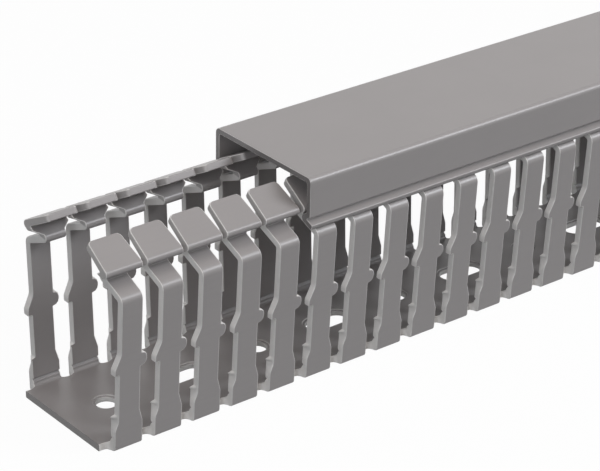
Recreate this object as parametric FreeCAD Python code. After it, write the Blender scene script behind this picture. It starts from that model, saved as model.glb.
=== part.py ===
"""Slotted wire duct with its clip-on cover, in millimetres.

X runs along the duct from the near sawn end, Y runs across it, Z is up and the underside
of the base lies in Z = 0.  Both pieces are plastic extrusions: each one is a constant sheet
section in the Y-Z plane drawn along X.  The section of the channel is folded once more at the
top of each wall: a shoulder runs inward to the neck, a leg runs back outward to the apex, and
the head plate slopes up towards the middle.  The hooks of the cover follow the fold between
shoulder and leg.  The channel is then punched: one outline in the X-Z plane leaves the fingers
of both walls with their heads, and a row of round holes and slots runs down the middle of the
base.
"""
import math
import os

import FreeCAD
import Part
from FreeCAD import Vector

# Lengths along the duct.
DUCT_LENGTH = 500.0
FINGER_PITCH = 12.5
END_GAP = 7.7               # near end to the middle of the first finger
COVER_SETBACK = 65.2        # near end of the channel to the near end of the cover

# Outer sizes of the section and the sheets of both pieces.
BASE_WIDTH = 39.6
COVER_WIDTH = 41.0
DUCT_HEIGHT = 60.0
CHANNEL_SHEET = 2.0
COVER_SHEET = 1.6

# Gaps between the cover and the heads of the fingers.
HEAD_SIDE_CLEARANCE = 0.2   # apex of the head to the inside of the skirt
HEAD_TOP_CLEARANCE = 2.1    # free edge of the head plate to the inside of the top
HOOK_CLEARANCE = 0.3        # hook and lip to the neck of the finger

# Folds at the top of each wall, along the middle of the sheet.
PLATE_RUN = 9.1             # apex to free edge, inward
PLATE_RISE = 4.7            # apex to free edge, upward
LEG_RUN = 5.4               # neck to apex, outward
LEG_RISE = 3.2              # neck to apex, upward
SHOULDER_RUN = 8.4          # ridge to neck, inward
SHOULDER_RISE = 3.5         # ridge to neck, upward

# Radii of the channel's bends: outside and inside of each one.
PLATE_EDGE_RADIUS = 0.5
APEX_OUTER_RADIUS = 1.2
APEX_INNER_RADIUS = 0.3
NECK_OUTER_RADIUS = 1.4
NECK_INNER_RADIUS = 0.4
RIDGE_OUTER_RADIUS = 2.3
RIDGE_INNER_RADIUS = 0.6
FOOT_OUTER_RADIUS = 0.5
FOOT_INNER_RADIUS = 1.2

# Break-off groove along the inside of each wall, just above the base.
SCORE_HEIGHT = 3.9
SCORE_HALF_WIDTH = 0.8
SCORE_DEPTH = 0.4

# Lip and radii of the cover.
LIP_LENGTH = 4.4
COVER_OUTER_RADIUS = 1.6
COVER_INNER_RADIUS = 0.5
FOLD_OUTER_RADIUS = 1.2
FOLD_INNER_RADIUS = 0.4
HOOK_OUTER_RADIUS = 1.3
HOOK_INNER_RADIUS = 0.2
LIP_EDGE_RADIUS = 0.4

# Outline of a finger in the X-Z plane: half widths from the middle of the finger, heights
# from the underside of the base.
FOOT_NEAR_HALF_WIDTH = 4.8
FOOT_FAR_HALF_WIDTH = 3.9
TOOTH_HEIGHT = 9.6          # barb on the near-end edge, just above the foot
TOOTH_RISE = 0.9
FOOT_TAPER_START = 7.0
FOOT_TAPER_END = 10.6
LOWER_NEAR_HALF_WIDTH = 3.8
LOWER_FAR_HALF_WIDTH = 2.9
NEAR_BUMP_HALF_WIDTH = 5.1  # break-off bump on the near-end edge, with a flat underside
NEAR_BUMP_UNDERSIDE = 22.6
NEAR_BUMP_NOSE_HEIGHT = 24.4
NEAR_BUMP_TOP = 28.3
NEAR_BUMP_NOSE_RADIUS = 2.0
NEAR_BUMP_TOP_RADIUS = 3.0
FAR_BUMP_HALF_WIDTH = 4.9   # break-off bump on the far-end edge, nearly a half circle
FAR_BUMP_UNDERSIDE = 23.3
FAR_BUMP_TOP = 27.4
FAR_BUMP_LOWER_RADIUS = 1.9
FAR_BUMP_UPPER_RADIUS = 1.6
UPPER_HALF_WIDTH = 3.25
HEAD_FLARE_START = 0.7      # above the neck
HEAD_FLARE_END = 1.9        # above the neck
HEAD_APEX_HALF_WIDTH = 5.6
HEAD_EDGE_HALF_WIDTH = 4.9
HEAD_CORNER_WIDTH = 1.3     # rounded corner at the free edge, along the duct
HEAD_CORNER_RISE = 0.9      # the same corner, seen from the side
HEAD_CORNER_RADIUS = 0.9

# Corner notches that the slots leave in the edges of the base.
NOTCH_DEPTH = 2.7
NOTCH_CORNER_RADIUS = 1.5

# Holes down the middle of the base: round ones and slots take turns, each with a shallow
# step around its upper rim.
HOLE_SPACING = 25.0
FIRST_HOLE_AT = 14.0
ROUND_HOLE_DIAMETER = 5.8
SLOT_WIDTH = 6.5
SLOT_LENGTH = 14.0
RIM_STEP_WIDTH = 0.7
RIM_STEP_DEPTH = 0.4

FINGER_COUNT = int(DUCT_LENGTH // FINGER_PITCH)
OVERCUT = 5.0
EPSILON = 1e-7
WALL_REACH = (BASE_WIDTH + COVER_WIDTH) / 2 + OVERCUT


def point_yz(y, z, x=0.0):
    return Vector(x, y, z)


def unit(vector):
    return vector / vector.Length


def rounded_wire(corners, radii):
    """Closed wire through the corners, each one rounded with its own radius."""
    count = len(corners)
    befores = [unit(corners[index - 1] - corners[index]) for index in range(count)]
    afters = [unit(corners[(index + 1) % count] - corners[index]) for index in range(count)]
    turns = [before.getAngle(after) for before, after in zip(befores, afters)]
    setbacks = [radius / math.tan(turn / 2) for radius, turn in zip(radii, turns)]
    edges = []
    for index in range(count):
        corner = corners[index]
        start = corner + befores[index] * setbacks[index]
        end = corner + afters[index] * setbacks[index]
        if (end - start).Length > EPSILON:
            inward = unit(befores[index] + afters[index])
            reach = radii[index] / math.sin(turns[index] / 2) - radii[index]
            edges.append(Part.Arc(start, corner + inward * reach, end).toShape())
        following = (index + 1) % count
        next_start = corners[following] + befores[following] * setbacks[following]
        if (next_start - end).Length > EPSILON:
            edges.append(Part.LineSegment(end, next_start).toShape())
    return Part.Wire(edges)


def offset_path(path, distance):
    """Mitred copy of an open path in the Y-Z plane, moved to its left by the distance."""
    moved = []
    last = len(path) - 1
    for index, corner in enumerate(path):
        sides = []
        if index > 0:
            run = unit(corner - path[index - 1])
            sides.append(Vector(0, -run.z, run.y))
        if index < last:
            run = unit(path[index + 1] - corner)
            sides.append(Vector(0, -run.z, run.y))
        mean = unit(sides[0] + sides[-1])
        moved.append(corner + mean * (distance / mean.dot(sides[0])))
    return moved


def turns_left(path, index):
    run_in = path[index] - path[index - 1]
    run_out = path[index + 1] - path[index]
    return run_in.y * run_out.z - run_in.z * run_out.y > 0


def sheet_face(half_path, thickness, half_radii):
    """Section of a bent sheet, mirrored across the duct.

    The half path holds the middle of the sheet on the far side, from its free edge to the
    last bend before the middle; every bend has an (outer, inner) pair of radii.
    """
    path = half_path + [point_yz(-corner.y, corner.z, corner.x) for corner in half_path[::-1]]
    pairs = half_radii + half_radii[::-1]
    left_radii = []
    right_radii = []
    for index, (outer, inner) in enumerate(pairs):
        is_end = index in (0, len(path) - 1)
        if is_end or turns_left(path, index):
            left_radii.append(inner)
            right_radii.append(outer)
        else:
            left_radii.append(outer)
            right_radii.append(inner)
    left = offset_path(path, thickness / 2)
    right = offset_path(path, -thickness / 2)
    return Part.Face(rounded_wire(left + right[::-1], left_radii + right_radii[::-1]))


def apex_reach():
    """How far the rounded outside of the apex lies beyond the corner of the sheet's middle."""
    along_plate = point_yz(-PLATE_RUN, PLATE_RISE)
    along_leg = point_yz(-LEG_RUN, -LEG_RISE)
    half_turn = along_plate.getAngle(along_leg) / 2
    inward = unit(unit(along_plate) + unit(along_leg))
    centre_depth = (APEX_OUTER_RADIUS - CHANNEL_SHEET / 2) / math.sin(half_turn)
    return APEX_OUTER_RADIUS + inward.y * centre_depth


def wall_path():
    """Middle of the sheet of the far wall: free edge, apex, neck, ridge and foot."""
    edge_height = DUCT_HEIGHT - COVER_SHEET - HEAD_TOP_CLEARANCE - CHANNEL_SHEET / 2
    apex_half_width = COVER_WIDTH / 2 - COVER_SHEET - HEAD_SIDE_CLEARANCE - apex_reach()
    apex = point_yz(apex_half_width, edge_height - PLATE_RISE)
    edge = apex + point_yz(-PLATE_RUN, PLATE_RISE)
    neck = apex - point_yz(LEG_RUN, LEG_RISE)
    ridge = neck + point_yz(SHOULDER_RUN, -SHOULDER_RISE)
    foot = point_yz((BASE_WIDTH - CHANNEL_SHEET) / 2, CHANNEL_SHEET / 2)
    return [edge, apex, neck, ridge, foot]


def channel_section():
    """Base, two walls leaning slightly outward and the folded heads, as one sheet."""
    radii = [
        (PLATE_EDGE_RADIUS, PLATE_EDGE_RADIUS),
        (APEX_OUTER_RADIUS, APEX_INNER_RADIUS),
        (NECK_OUTER_RADIUS, NECK_INNER_RADIUS),
        (RIDGE_OUTER_RADIUS, RIDGE_INNER_RADIUS),
        (FOOT_OUTER_RADIUS, FOOT_INNER_RADIUS),
    ]
    return sheet_face(wall_path(), CHANNEL_SHEET, radii)


def score_grooves():
    """Two V-shaped prisms, one for the inside of each wall."""
    ridge, foot = wall_path()[3:]
    lean = (ridge.y - foot.y) / (ridge.z - foot.z)
    inner = foot.y - CHANNEL_SHEET / 2 + lean * (SCORE_HEIGHT - foot.z)
    grooves = []
    for side in (-1, 1):
        corners = [
            point_yz(side * (inner - SCORE_DEPTH), SCORE_HEIGHT - 2 * SCORE_HALF_WIDTH),
            point_yz(side * (inner + SCORE_DEPTH), SCORE_HEIGHT),
            point_yz(side * (inner - SCORE_DEPTH), SCORE_HEIGHT + 2 * SCORE_HALF_WIDTH),
        ]
        face = Part.Face(rounded_wire(corners, [0] * len(corners)))
        grooves.append(face.extrude(Vector(DUCT_LENGTH, 0, 0)))
    return grooves


def head_side(middle, side):
    """Upper part of a finger's edge, from the neck up: (x, z, corner radius)."""
    edge, apex, neck = wall_path()[:3]
    top = edge.z + CHANNEL_SHEET / 2
    corner_half_width = HEAD_EDGE_HALF_WIDTH - HEAD_CORNER_WIDTH
    return [
        (middle + side * UPPER_HALF_WIDTH, neck.z + HEAD_FLARE_START, 0),
        (middle + side * HEAD_APEX_HALF_WIDTH, neck.z + HEAD_FLARE_END, 0),
        (middle + side * HEAD_APEX_HALF_WIDTH, apex.z, 0),
        (middle + side * HEAD_EDGE_HALF_WIDTH, top - HEAD_CORNER_RISE, HEAD_CORNER_RADIUS),
        (middle + side * corner_half_width, top, 0),
        (middle + side * corner_half_width, top + OVERCUT, 0),
    ]


def near_edge(middle):
    """Near-end edge of a finger from the base up: (x, z, corner radius)."""
    foot = middle - FOOT_NEAR_HALF_WIDTH
    lower = middle - LOWER_NEAR_HALF_WIDTH
    upper = middle - UPPER_HALF_WIDTH
    bump = middle - NEAR_BUMP_HALF_WIDTH
    return [
        (foot, CHANNEL_SHEET, 0),
        (foot, TOOTH_HEIGHT + TOOTH_RISE, 0),
        (lower, TOOTH_HEIGHT, 0),
        (lower, NEAR_BUMP_UNDERSIDE, 0),
        (bump, NEAR_BUMP_UNDERSIDE, 0),
        (bump, NEAR_BUMP_NOSE_HEIGHT, NEAR_BUMP_NOSE_RADIUS),
        (upper, NEAR_BUMP_TOP, NEAR_BUMP_TOP_RADIUS),
    ] + head_side(middle, -1)


def far_edge(middle):
    """Far-end edge of a finger from the base up: (x, z, corner radius)."""
    foot = middle + FOOT_FAR_HALF_WIDTH
    lower = middle + LOWER_FAR_HALF_WIDTH
    upper = middle + UPPER_HALF_WIDTH
    bump = middle + FAR_BUMP_HALF_WIDTH
    return [
        (foot, CHANNEL_SHEET, 0),
        (foot, FOOT_TAPER_START, 0),
        (lower, FOOT_TAPER_END, 0),
        (lower, FAR_BUMP_UNDERSIDE, 0),
        (bump, FAR_BUMP_UNDERSIDE, FAR_BUMP_LOWER_RADIUS),
        (bump, FAR_BUMP_TOP, FAR_BUMP_UPPER_RADIUS),
        (upper, FAR_BUMP_TOP, 0),
    ] + head_side(middle, 1)


def wall_punch(lower_side, higher_side):
    """Prism across the duct between two upward outlines in the X-Z plane."""
    outline = lower_side + higher_side[::-1]
    corners = [Vector(x, -WALL_REACH, z) for x, z, radius in outline]
    face = Part.Face(rounded_wire(corners, [radius for x, z, radius in outline]))
    return face.extrude(Vector(0, 2 * WALL_REACH, 0))


def corner_notches(start, end):
    """Pair of prisms that take the edges of the base back where a slot runs out."""
    inner = BASE_WIDTH / 2 - NOTCH_DEPTH
    radii = [0, NOTCH_CORNER_RADIUS, NOTCH_CORNER_RADIUS, 0]
    notches = []
    for side in (-1, 1):
        corners = [
            Vector(start, side * WALL_REACH, -OVERCUT),
            Vector(start, side * inner, -OVERCUT),
            Vector(end, side * inner, -OVERCUT),
            Vector(end, side * WALL_REACH, -OVERCUT),
        ]
        face = Part.Face(rounded_wire(corners, radii))
        notches.append(face.extrude(Vector(0, 0, 2 * OVERCUT)))
    return notches


def finger_middle(index):
    return END_GAP + index * FINGER_PITCH


def punches():
    """All side slots: the open ones at both sawn ends and one after each finger."""
    top = DUCT_HEIGHT + OVERCUT
    before_duct = [(-OVERCUT, CHANNEL_SHEET, 0), (-OVERCUT, top, 0)]
    beyond = DUCT_LENGTH + OVERCUT
    after_duct = [(beyond, CHANNEL_SHEET, 0), (beyond, top, 0)]
    first = finger_middle(0)
    last = finger_middle(FINGER_COUNT - 1)
    tools = [wall_punch(before_duct, near_edge(first)), wall_punch(far_edge(last), after_duct)]
    tools += corner_notches(-OVERCUT, first - FOOT_NEAR_HALF_WIDTH)
    for index in range(FINGER_COUNT - 1):
        start = finger_middle(index)
        end = finger_middle(index + 1)
        tools.append(wall_punch(far_edge(start), near_edge(end)))
        tools += corner_notches(start + FOOT_FAR_HALF_WIDTH, end - FOOT_NEAR_HALF_WIDTH)
    return tools


def slot_prism(middle, length, width, bottom, height):
    """Upright prism with rounded ends along the duct; as long as wide, it is round."""
    if length - width < EPSILON:
        return Part.makeCylinder(width / 2, height, Vector(middle, 0, bottom))
    corners = [
        Vector(middle - length / 2, -width / 2, bottom),
        Vector(middle + length / 2, -width / 2, bottom),
        Vector(middle + length / 2, width / 2, bottom),
        Vector(middle - length / 2, width / 2, bottom),
    ]
    face = Part.Face(rounded_wire(corners, [width / 2] * len(corners)))
    return face.extrude(Vector(0, 0, height))


def base_holes():
    """Round holes and slots in turn along the middle of the base, with their rim steps."""
    tools = []
    count = int((DUCT_LENGTH - FIRST_HOLE_AT) // HOLE_SPACING) + 1
    through = CHANNEL_SHEET + 2 * OVERCUT
    for index in range(count):
        middle = FIRST_HOLE_AT + index * HOLE_SPACING
        length, width = SLOT_LENGTH, SLOT_WIDTH
        if index % 2 == 0:
            length, width = ROUND_HOLE_DIAMETER, ROUND_HOLE_DIAMETER
        tools.append(slot_prism(middle, length, width, -OVERCUT, through))
        wider = 2 * RIM_STEP_WIDTH
        step_bottom = CHANNEL_SHEET - RIM_STEP_DEPTH
        tools.append(slot_prism(middle, length + wider, width + wider, step_bottom, OVERCUT))
    return tools


def slotted_channel():
    blank = channel_section().extrude(Vector(DUCT_LENGTH, 0, 0))
    return blank.cut(punches() + base_holes() + score_grooves())


def snap_cover():
    """Flat top, two skirts, and at the foot of each skirt a hook and a flared lip."""
    apex, neck, ridge = wall_path()[1:4]
    middle_gap = (CHANNEL_SHEET + COVER_SHEET) / 2 + HOOK_CLEARANCE
    hook = offset_path([ridge, neck, apex], -middle_gap)[1]
    skirt_half_width = (COVER_WIDTH - COVER_SHEET) / 2
    along_leg = unit(apex - neck)
    fold = hook + along_leg * ((skirt_half_width - hook.y) / along_leg.y)
    lip_edge = hook + unit(ridge - neck) * LIP_LENGTH
    corner = point_yz(skirt_half_width, DUCT_HEIGHT - COVER_SHEET / 2)
    radii = [
        (LIP_EDGE_RADIUS, LIP_EDGE_RADIUS),
        (HOOK_OUTER_RADIUS, HOOK_INNER_RADIUS),
        (FOLD_OUTER_RADIUS, FOLD_INNER_RADIUS),
        (COVER_OUTER_RADIUS, COVER_INNER_RADIUS),
    ]
    start = Vector(COVER_SETBACK, 0, 0)
    path = [start + point for point in (lip_edge, hook, fold, corner)]
    face = sheet_face(path, COVER_SHEET, radii)
    return face.extrude(Vector(DUCT_LENGTH - COVER_SETBACK, 0, 0))


os.makedirs("parts", exist_ok=True)
slotted_channel().exportStep("parts/slotted_channel.step")
snap_cover().exportStep("parts/snap_cover.step")
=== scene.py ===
"""Slotted wire duct with its clip-on cover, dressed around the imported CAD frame.

X runs along the duct, Y across it, Z up; every length is in metres.  The channel is one sheet:
each finger is a punched outline laid on the bent section of the wall, and the base between the
fingers is laid around its row of holes.  The cover is one section drawn along X.
"""

import math

import bpy
import numpy as np
from bpy.props import FloatProperty, FloatVectorProperty, PointerProperty, StringProperty
from bpy.types import Operator, Panel, PropertyGroup
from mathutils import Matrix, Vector


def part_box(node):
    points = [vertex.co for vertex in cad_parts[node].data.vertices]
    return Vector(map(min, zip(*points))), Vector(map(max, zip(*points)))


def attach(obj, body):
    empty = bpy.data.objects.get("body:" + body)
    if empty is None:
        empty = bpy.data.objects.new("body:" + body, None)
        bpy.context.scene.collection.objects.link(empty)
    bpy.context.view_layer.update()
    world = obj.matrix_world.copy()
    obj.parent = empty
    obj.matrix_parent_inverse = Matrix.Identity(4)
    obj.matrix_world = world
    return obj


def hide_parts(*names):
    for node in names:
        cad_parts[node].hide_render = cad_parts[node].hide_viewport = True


bl_info = {
    "name": "Slotted wire duct",
    "version": (1, 0, 0),
    "blender": (4, 5, 0),
    "location": "View3D > Sidebar > Wire duct",
    "description": "Punched wire duct with a clip-on cover, its plastic and its studio",
    "category": "Add Mesh",
}

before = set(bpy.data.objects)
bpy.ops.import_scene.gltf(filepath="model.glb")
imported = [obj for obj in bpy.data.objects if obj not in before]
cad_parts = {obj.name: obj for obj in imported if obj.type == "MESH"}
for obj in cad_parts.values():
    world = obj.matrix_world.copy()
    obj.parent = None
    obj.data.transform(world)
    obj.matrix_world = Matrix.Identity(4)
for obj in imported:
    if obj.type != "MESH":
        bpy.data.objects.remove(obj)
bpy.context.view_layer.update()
CHANNEL_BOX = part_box("slotted_channel")
COVER_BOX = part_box("snap_cover")

# Lengths along the duct.
DUCT_LENGTH = CHANNEL_BOX[1].x
FINGER_PITCH = 0.0125
FIRST_FINGER = 0.0077  # near end to the middle of the first finger
FINGER_COUNT = 40

# Sheets, and the gaps that place the heads inside the cover.
CHANNEL_SHEET = 0.002
COVER_SHEET = 0.0016
BASE_WIDTH = 0.0396
COVER_WIDTH = 0.041
HEAD_SIDE_CLEARANCE = 0.0002
HEAD_TOP_CLEARANCE = 0.0021
HOOK_CLEARANCE = 0.0003

# Folds at the top of each wall: runs across the duct and rises, along the sheet's middle.
PLATE_FOLD = (0.0091, 0.0047)
LEG_FOLD = (0.0054, 0.0032)
SHOULDER_FOLD = (0.0084, 0.0035)
RIDGE, NECK, APEX = 2, 3, 4  # among the corners of the wall's section

# Radii of the bends: outside and inside.
APEX_RADII = (0.0012, 0.0003)
NECK_RADII = (0.0014, 0.0004)
RIDGE_RADII = (0.0023, 0.0006)
FOOT_RADII = (0.0009, 0.0012)
COVER_CORNER_RADII = (0.0016, 0.0005)
COVER_FOLD_RADII = (0.0003, 0.0004)
HOOK_RADII = (0.0013, 0.0002)
LIP_LENGTH = 0.0044
LIP_EDGE_RADIUS = 0.0004
BEND_STEPS = 5
LIP_STEPS = 3

# Break-off groove inside each wall.
SCORE_HEIGHT = 0.0039
SCORE_HALF_WIDTH = 0.0004
SCORE_DEPTH = 0.0006
TAPER_STEPS = 5  # rows of the wall beside the taper of the finger's foot

# Finger outline: half widths from its middle, heights above the floor.
FOOT_NEAR_HALF_WIDTH = 0.0048
FOOT_FAR_HALF_WIDTH = 0.0039
SLOT_MIDDLE = (FINGER_PITCH + FOOT_FAR_HALF_WIDTH - FOOT_NEAR_HALF_WIDTH) / 2
NOTCH_DEPTH = 0.0027
NOTCH_EDGE = BASE_WIDTH / 2 - NOTCH_DEPTH
NOTCH_RADIUS = 0.0015
FOOT_TAPER = (0.0070, 0.0106)
NEAR_FOOT_TAPER = (0.0056, 0.0089)  # only on the outside; inside, the foot ends in a step
NEAR_FOOT_REGION = (0.0050, 0.0120)  # where the cut face turns from the step to the taper
NIB = (0.0006, 0.0093, 0.0100, 0.0104)  # reach of the torn nib; its foot, tip and top
NIB_RADII = (0.00008, 0.00033)  # foot and top; tip, which no edge rounding may outgrow
LOWER_NEAR_HALF_WIDTH = 0.0038
LOWER_FAR_HALF_WIDTH = 0.0029
NEAR_BUMP = (0.0051, 0.0226, 0.0244, 0.0283)  # half width; underside, nose, top
NEAR_BUMP_RADII = (0.0020, 0.0030)  # nose and top
FAR_BUMP = (0.0049, 0.0233, 0.0274)  # half width; underside, top
FAR_BUMP_RADII = (0.0019, 0.0016)  # underside and top
FAR_BUMP_ROOTS = (0.00005, 0.00004)  # radii where the underside and the top meet the finger
UPPER_HALF_WIDTH = 0.00325
HEAD_FLARE_RISES = (0.0007, 0.0019)  # above the neck
HEAD_HALF_WIDTH = 0.0056
PLATE_END_HALF_WIDTH = 0.0049
PLATE_CORNER_RADIUS = 0.0014
SMALL_CORNER = 0.0004
INNER_CORNER = 0.0002
OUTLINE_STEPS = 3

# Row of holes: round ones and slots take turns.
FIRST_HOLE = 0.014
HOLE_SPACING = 0.025
HOLE_COUNT = 20
ROUND_HOLE_RADIUS = 0.0029
SLOT_RADIUS = 0.00325
SLOT_LENGTH = 0.014
RIM_STEP = (0.0007, 0.0004)  # width and depth of the step round the upper rim
HOLE_POINTS = 32

# Meshes: corners that lie this close become one, and faces with so little area are left out.
WELD = 1e-7
NO_AREA = 1e-14

# Cut faces: angles round each rounded edge, and marks for how pale each place is drawn, partly
# stress whitening and partly a painted highlight.  A mark above 1 is no paler than 1, but it
# widens the pale band beside it into a painted highlight line along the edge.
CUT_MARK = "cut_face"
EDGE_ANGLES = [0, 45, 90]
# The mark above 1 at 45 degrees paints a highlight line along each rounded punched edge.
EDGE_STRESS_AND_HIGHLIGHT = [0.1, 1.25, 1.0]
HEAD_PALENESS = 0.25  # of a head's cut faces, between their rounded edges
NIB_PALENESS = 1.6
TORN_SHARE = 0.25  # share of the nib's reach past which its plastic is torn
HOLE_FADE = 4  # power of the lean of a hole's rounded edge, by which its paleness sets in
SAWN_FADE = 2  # the same for the cover's sawn ends, whose paleness is a painted highlight on the rounded edge
SAWN = -1.0  # mark of a sawn face, drawn grainy and darker
SAWN_LEAN = 0.1  # lean along the duct from which a face past the far end is sawn off

# Plastic: sizes of its patterns, then how far each of them changes the look.
CLOUD_SIZE = 0.02
GRAIN_SIZE = 0.0004  # finer on a real edge, and drawn as coarse as it needs to show
LINE_STRETCH = 0.004  # how slowly the die lines change along the duct, against across it
NOISE_RANGE = (0.3, 0.7)  # between which most of a noise lies
CLOUD_TONES = (0.98, 1.02)
LINE_TONES = (0.99, 1.01)
# how much darker the sawn faces are drawn
SAWN_TONE = 0.6
LINE_ROUGHNESS = 0.10
CUT_ROUGHNESS = 0.18  # what a cut face has above the skin's roughness
LINE_RELIEF = {"Strength": 0.12, "Distance": 0.00006}
GRAIN_RELIEF = {"Strength": 0.3, "Distance": 0.00008}
MIX_A, MIX_B, MIX_COLOUR = 6, 7, 2  # the colour sockets of a Mix node: two inputs, the output

# Studio.  A soft light has its place, the point that it faces, its side length and its colour.
WHITE = "FFFFFF"
DAYLIGHT = "FFF8F4"
SKYLIGHT = "F5FAFF"
SOFT_LIGHTS = {
    "overhead": ((0.0, -0.3, 1.25), (0.1, 0.0, 0.03), 1.3, DAYLIGHT),
    "left_side": ((-0.85, -0.7, 0.45), (0.15, 0.0, 0.03), 0.6, SKYLIGHT),
    "right_side": ((0.85, -0.75, 0.75), (0.15, 0.0, 0.03), 0.45, SKYLIGHT),
    "behind": ((-0.4, 1.2, 0.5), (0.25, 0.0, 0.03), 0.8, SKYLIGHT),
}
FLOOR_BOUNCE = "3C3C3C"  # the floor as the duct sees it, dark enough to keep its inside dark
FLOOR_SHADOW = 0.04  # share of the painted floor in what the camera sees, for a faint shadow
FLOOR_REACH = 9.0
FLOOR_GAP = 0.00002  # keeps the underside and the floor from flickering through each other
SENSOR_WIDTH = 36.0  # millimetres
CLIP_DISTANCES = (0.01, 20.0)


def hex_to_linear(text):
    """Linear RGBA of an sRGB colour written as six hex digits, by the curve of that standard."""
    values = np.array([int(text[i : i + 2], 16) for i in (0, 2, 4)]) / 255.0
    linear = np.where(values <= 0.04045, values / 12.92, ((values + 0.055) / 1.055) ** 2.4)
    return (*linear, 1.0)


class DuctSizes(PropertyGroup):
    """Small roundings, which the CAD part does without"""

    edge_radius: FloatProperty(
        name="Edge radius",
        description="Rounding left on the punched edges of the fingers",
        default=0.00032,
        min=0.0001,
        max=0.00033,
        subtype="DISTANCE",
        unit="LENGTH",
    )
    sawn_edge: FloatProperty(
        name="Sawn edge",
        description="Rounding of the cover's sawn ends",
        default=0.00015,
        min=0.00005,
        max=0.0004,
        subtype="DISTANCE",
        unit="LENGTH",
    )


class DuctFinish(PropertyGroup):
    """Colours and surface of the plastic"""

    plastic: StringProperty(
        name="Plastic",
        description="sRGB colour of the extruded and sawn faces, as hex digits",
        default="A29D9C",
    )
    # This pale colour is partly stress whitening and partly painted light, standing in for light on
    # the cut faces and the highlight along their edges.
    punched: StringProperty(
        name="Punched edges",
        description="sRGB colour of the punched faces, paler from stress, as hex digits",
        default="F2EFEC",
    )
    roughness: FloatProperty(
        name="Roughness",
        description="Roughness of the extruded skin",
        default=0.34,
        min=0.0,
        max=1.0,
        subtype="FACTOR",
    )
    die_line_spacing: FloatProperty(
        name="Die line spacing",
        description="Distance between the faint lines that the extrusion die leaves",
        default=0.0011,
        subtype="DISTANCE",
        unit="LENGTH",
    )


class DuctStudio(PropertyGroup):
    """Camera and light levels of the stage"""

    camera_place: FloatVectorProperty(
        name="Camera place",
        description="Where the camera stands",
        default=(-0.30847, -0.47612, 0.34154),
        subtype="TRANSLATION",
        unit="LENGTH",
    )
    camera_turn: FloatVectorProperty(
        name="Camera turn",
        description="Camera rotation, XYZ order",
        default=(math.radians(63.177), math.radians(-1.025), math.radians(-38.592)),
        subtype="EULER",
        unit="ROTATION",
    )
    focal_length: FloatProperty(
        name="Focal length",
        description="Focal length in millimetres on a 36 mm wide sensor",
        default=151.46,
    )
    overhead_power: FloatProperty(
        name="Overhead light",
        description="Power of the soft light above the duct, in watts",
        default=6.2,
        unit="POWER",
    )
    left_power: FloatProperty(
        name="Left light",
        description="Power of the soft light to the left, past the near end, in watts",
        default=3.4,
        unit="POWER",
    )
    right_power: FloatProperty(
        name="Right light",
        description="Power of the soft light whose reflection runs along the ridge bends, in watts",
        default=7.6,
        unit="POWER",
    )
    back_power: FloatProperty(
        name="Back light",
        description="Power of the soft light behind the far wall, in watts",
        default=2.6,
        unit="POWER",
    )
    ambient: FloatProperty(
        name="Ambient light",
        description="Strength of the even light from all round",
        default=0.10,
    )


def fillet(corners, radii, steps):
    """Open line through the corners, each inner one rounded.

    The arc of radius r at a turn of angle t starts r * tan(t / 2) before the corner; its point
    k lies at the heading a + t * k / steps on a circle about the centre r to the side of it.
    Returns the points and the heading at each.
    """
    corners = np.asarray(corners, float)
    radii = np.asarray(radii, float)[:, None]
    runs = np.diff(corners, axis=0)
    headings = np.arctan2(runs[:, 1], runs[:, 0])
    units = runs / np.linalg.norm(runs, axis=1)[:, None]
    turns = (np.diff(headings) + np.pi) % (2 * np.pi) - np.pi
    sides = np.sign(turns)[:, None]
    starts = corners[1:-1] - units[:-1] * radii * np.tan(np.abs(turns) / 2)[:, None]
    lefts = np.stack([-units[:-1, 1], units[:-1, 0]], 1)
    centres = starts + sides * lefts * radii
    angles = headings[:-1, None] + turns[:, None] * np.linspace(0, 1, steps + 1)
    arcs = centres[:, None] - (sides * radii)[:, None] * left_of(angles)
    points = np.concatenate([corners[:1], arcs.reshape(-1, 2), corners[-1:]])
    angles = np.concatenate([headings[:1], angles.ravel(), headings[-1:]])
    return points, angles


def left_of(heading):
    """Vector of length 1 to the left of a heading: (-sin, cos)."""
    return np.stack([-np.sin(heading), np.cos(heading)], -1)


def unit(vectors):
    """Vectors brought to length 1 along the last axis."""
    return vectors / np.linalg.norm(vectors, axis=-1, keepdims=True)


def mitred(corners, distance):
    """The open line moved to its left: each corner slides along the bisector of its bend."""
    runs = unit(np.diff(corners, axis=0))
    lefts = np.stack([-runs[:, 1], runs[:, 0]], 1)
    before = np.concatenate([lefts[:1], lefts])
    after = np.concatenate([lefts, lefts[-1:]])
    mean = unit(before + after)
    return corners + mean * (distance / np.sum(mean * before, axis=1))[:, None]


def bent_sheet(corners, thickness, bends):
    """Both faces of a sheet bent along the corners, which are its middle in the Y-Z plane.

    Each face is the middle line moved half a thickness sideways and rounded with the outer or
    the inner radius of each bend, whichever it is there.  Row i of both faces belongs together.
    The normals before and after a row differ only where the face has a sharp crease.
    """
    corners = np.asarray(corners, float)
    runs = np.diff(corners, axis=0)
    turns_left = runs[:-1, 0] * runs[1:, 1] - runs[:-1, 1] * runs[1:, 0] > 0
    outer, inner = np.asarray(bends, float).T
    left_radii = np.where(turns_left, inner, outer)
    right_radii = np.where(turns_left, outer, inner)
    left, heading = fillet(mitred(corners, thickness / 2), left_radii, BEND_STEPS)
    right, _ = fillet(mitred(corners, -thickness / 2), right_radii, BEND_STEPS)
    normal = left_of(heading)
    return {
        "left": left,
        "right": right,
        "left_before": normal,
        "left_after": normal.copy(),
        "right_before": -normal,
        "right_after": -normal,
    }


def measure(sheet):
    """Adds the distance of each row from the first, along the middle of the sheet."""
    middle = (sheet["left"] + sheet["right"]) / 2
    steps = np.linalg.norm(np.diff(middle, axis=0), axis=1)
    sheet["along"] = np.concatenate([[0.0], np.cumsum(steps)])
    return sheet


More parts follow.
